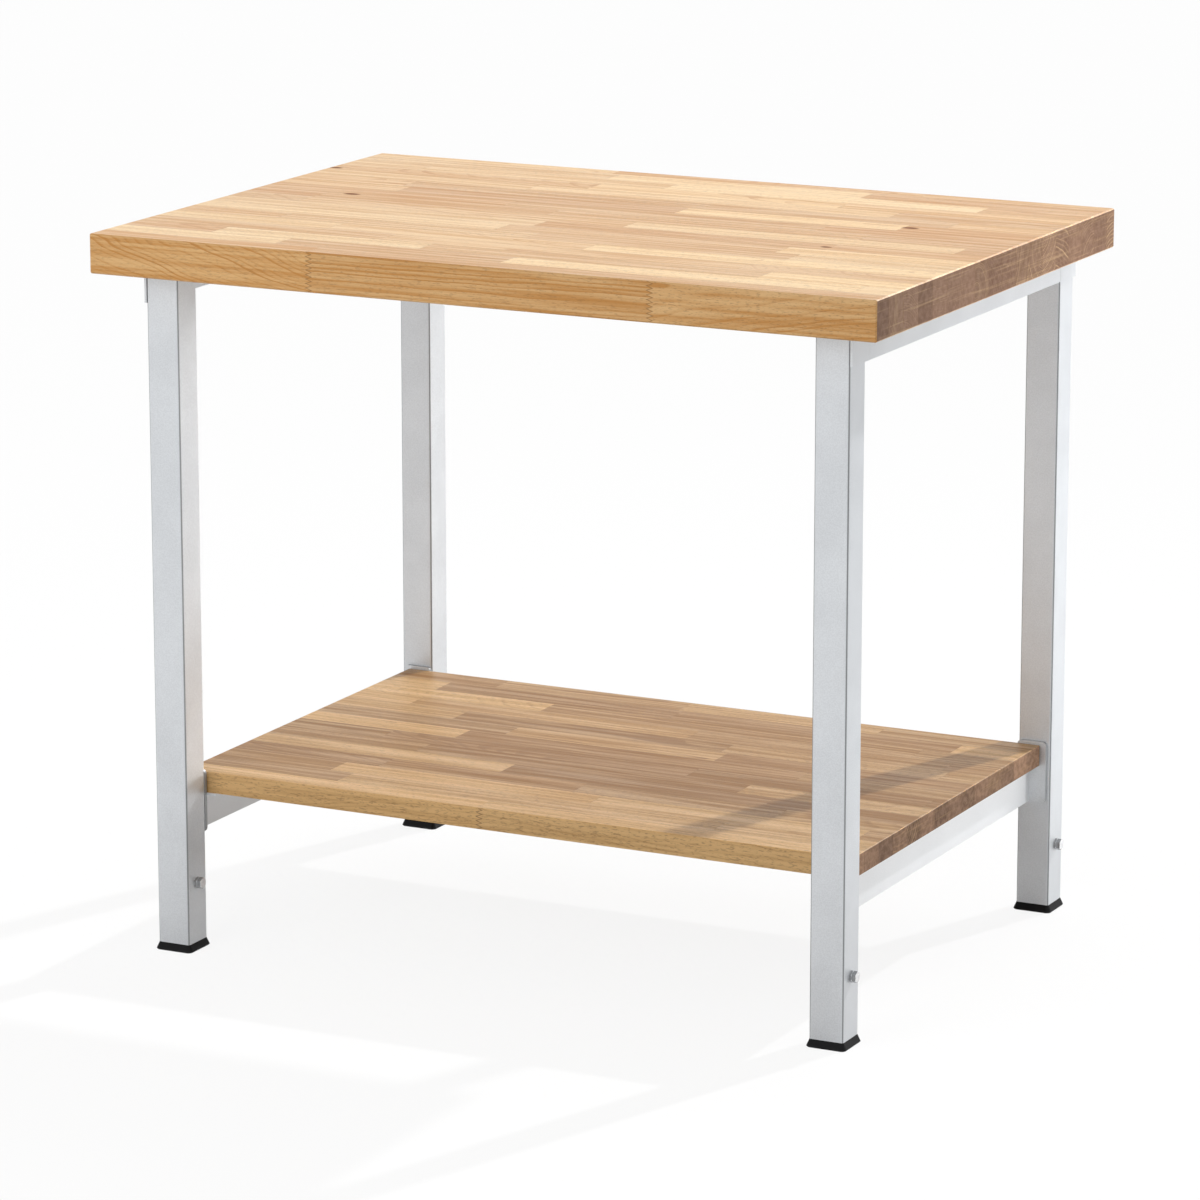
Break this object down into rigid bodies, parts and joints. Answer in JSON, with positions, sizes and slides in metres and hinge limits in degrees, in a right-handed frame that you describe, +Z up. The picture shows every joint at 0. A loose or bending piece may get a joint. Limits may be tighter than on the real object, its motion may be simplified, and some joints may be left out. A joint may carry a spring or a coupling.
{
  "type": "height-adjustable workbench",
  "caption": "Workbench with thick beech worktop and low beech shelf on square steel legs; inner tubes slide out of the legs to set the height and bolts clamp them.",
  "frame": {"origin": "on the floor under the middle of the worktop", "axes": "+X along the bench to the right, +Y from front to back, +Z up"},
  "size_m": [1.06, 0.75, 0.925],
  "materials": {
    "worktop_beech": "oiled glued beech",
    "shelf_beech": "oiled glued beech, darker",
    "silver_paint": "satin silver-grey powder coat with a fine speckle",
    "inner_leg_steel": "zinc plated tube",
    "zinc_fasteners": "bright zinc plate",
    "black_feet": "moulded black plastic"
  },
  "bodies": {
    "frame": {"worktop": "worktop_beech", "shelf_board": "shelf_beech", "left_top_rail": "silver_paint", "left_shelf_rail": "silver_paint", "left_worktop_screws": "zinc_fasteners", "left_shelf_screws": "zinc_fasteners", "right_top_rail": "silver_paint", "right_shelf_rail": "silver_paint", "right_worktop_screws": "zinc_fasteners", "right_shelf_screws": "zinc_fasteners", "front_left_leg_tube": "silver_paint", "front_left_head_bracket": "silver_paint", "front_left_end_plate": "silver_paint", "front_left_clamp_nut": "zinc_fasteners", "rear_left_leg_tube": "silver_paint", "rear_left_head_bracket": "silver_paint", "rear_left_end_plate": "silver_paint", "rear_left_clamp_nut": "zinc_fasteners", "front_right_leg_tube": "silver_paint", "front_right_head_bracket": "silver_paint", "front_right_end_plate": "silver_paint", "front_right_clamp_nut": "zinc_fasteners", "rear_right_leg_tube": "silver_paint", "rear_right_head_bracket": "silver_paint", "rear_right_end_plate": "silver_paint", "rear_right_clamp_nut": "zinc_fasteners"},
    "front_left_extension": {"front_left_inner_leg": "inner_leg_steel", "front_left_foot_cap": "black_feet"},
    "front_left_clamp": {"front_left_clamp_bolt": "zinc_fasteners"},
    "rear_left_extension": {"rear_left_inner_leg": "inner_leg_steel", "rear_left_foot_cap": "black_feet"},
    "rear_left_clamp": {"rear_left_clamp_bolt": "zinc_fasteners"},
    "front_right_extension": {"front_right_inner_leg": "inner_leg_steel", "front_right_foot_cap": "black_feet"},
    "front_right_clamp": {"front_right_clamp_bolt": "zinc_fasteners"},
    "rear_right_extension": {"rear_right_inner_leg": "inner_leg_steel", "rear_right_foot_cap": "black_feet"},
    "rear_right_clamp": {"rear_right_clamp_bolt": "zinc_fasteners"}
  },
  "joints": [
    {"name": "front_left_height", "type": "slide", "parent": "frame", "child": "front_left_extension", "axis": [0, 0, -1], "range_m": [0, 0.2]},
    {"name": "front_left_clamp_turn", "type": "hinge", "parent": "frame", "child": "front_left_clamp", "pos_m": [-0.432, -0.3065, 0.088], "axis": [1, 0, 0], "range_deg": [0, 270]},
    {"name": "rear_left_height", "type": "slide", "parent": "frame", "child": "rear_left_extension", "axis": [0, 0, -1], "range_m": [0, 0.2]},
    {"name": "rear_left_clamp_turn", "type": "hinge", "parent": "frame", "child": "rear_left_clamp", "pos_m": [-0.432, 0.3485, 0.088], "axis": [1, 0, 0], "range_deg": [0, 270]},
    {"name": "front_right_height", "type": "slide", "parent": "frame", "child": "front_right_extension", "axis": [0, 0, -1], "range_m": [0, 0.2]},
    {"name": "front_right_clamp_turn", "type": "hinge", "parent": "frame", "child": "front_right_clamp", "pos_m": [0.477, -0.3065, 0.088], "axis": [1, 0, 0], "range_deg": [0, 270]},
    {"name": "rear_right_height", "type": "slide", "parent": "frame", "child": "rear_right_extension", "axis": [0, 0, -1], "range_m": [0, 0.2]},
    {"name": "rear_right_clamp_turn", "type": "hinge", "parent": "frame", "child": "rear_right_clamp", "pos_m": [0.477, 0.3485, 0.088], "axis": [1, 0, 0], "range_deg": [0, 270]}
  ]
}
